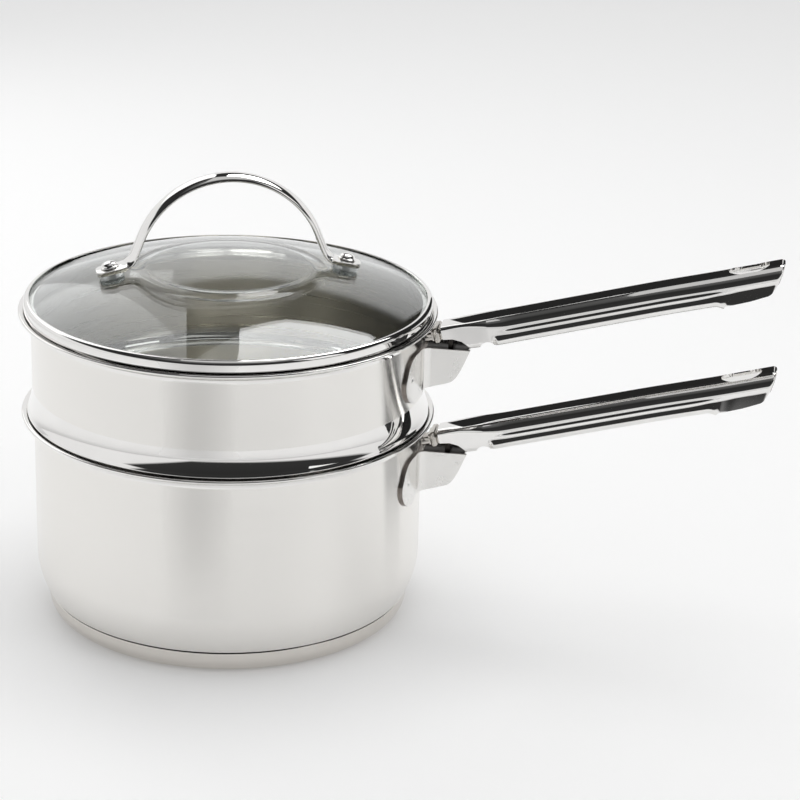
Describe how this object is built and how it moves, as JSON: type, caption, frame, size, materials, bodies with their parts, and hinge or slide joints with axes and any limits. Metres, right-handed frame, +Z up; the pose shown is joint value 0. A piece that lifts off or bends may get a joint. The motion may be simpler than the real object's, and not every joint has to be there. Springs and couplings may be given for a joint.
{
  "type": "double boiler",
  "caption": "Stovetop double boiler: a brushed stainless saucepan, a nesting insert pan on its rim, a domed glass lid with a steel band and arched handle, and stamped steel long handles",
  "frame": {"origin": "on the axis of both pans and the lid, at the face that the base stands on", "axes": "+Z up along the pans' axis, +X along both long handles, +Y to the left of someone who looks along the handles toward their tips"},
  "size_m": [0.3157, 0.1748, 0.1904],
  "materials": {
    "brushed_steel": "brushed around the axis outside and in, with a bright rolled rim",
    "polished_steel": "mirror polished stainless steel",
    "core_aluminium": "plain, sealed inside the base",
    "lid_glass": "clear tempered glass with a faint green grey cast",
    "clear_silicone": "clear to milky heat proof silicone"
  },
  "bodies": {
    "saucepan": {"lower_pan": "brushed_steel", "base_core": "core_aluminium", "base_cap": "polished_steel", "lower_bracket": "polished_steel", "lower_collar": "polished_steel", "lower_grip": "polished_steel"},
    "insert": {"upper_pan": "brushed_steel", "upper_bracket": "polished_steel", "upper_collar": "polished_steel", "upper_grip": "polished_steel"},
    "lid": {"lid_glass": "lid_glass", "lid_band": "polished_steel", "lid_handle": "polished_steel", "lid_pad_left": "clear_silicone", "lid_pad_right": "clear_silicone", "lid_sleeve_left": "clear_silicone", "lid_sleeve_right": "clear_silicone", "lid_washer_left": "clear_silicone", "lid_washer_right": "clear_silicone", "lid_rivet_left": "polished_steel", "lid_rivet_right": "polished_steel"}
  },
  "joints": [
    {"name": "insert_lift", "type": "slide", "parent": "saucepan", "child": "insert", "axis": [0, 0, 1], "range_m": [0, 0.12]},
    {"name": "lid_lift", "type": "slide", "parent": "insert", "child": "lid", "axis": [0, 0, 1], "range_m": [0, 0.1]}
  ]
}
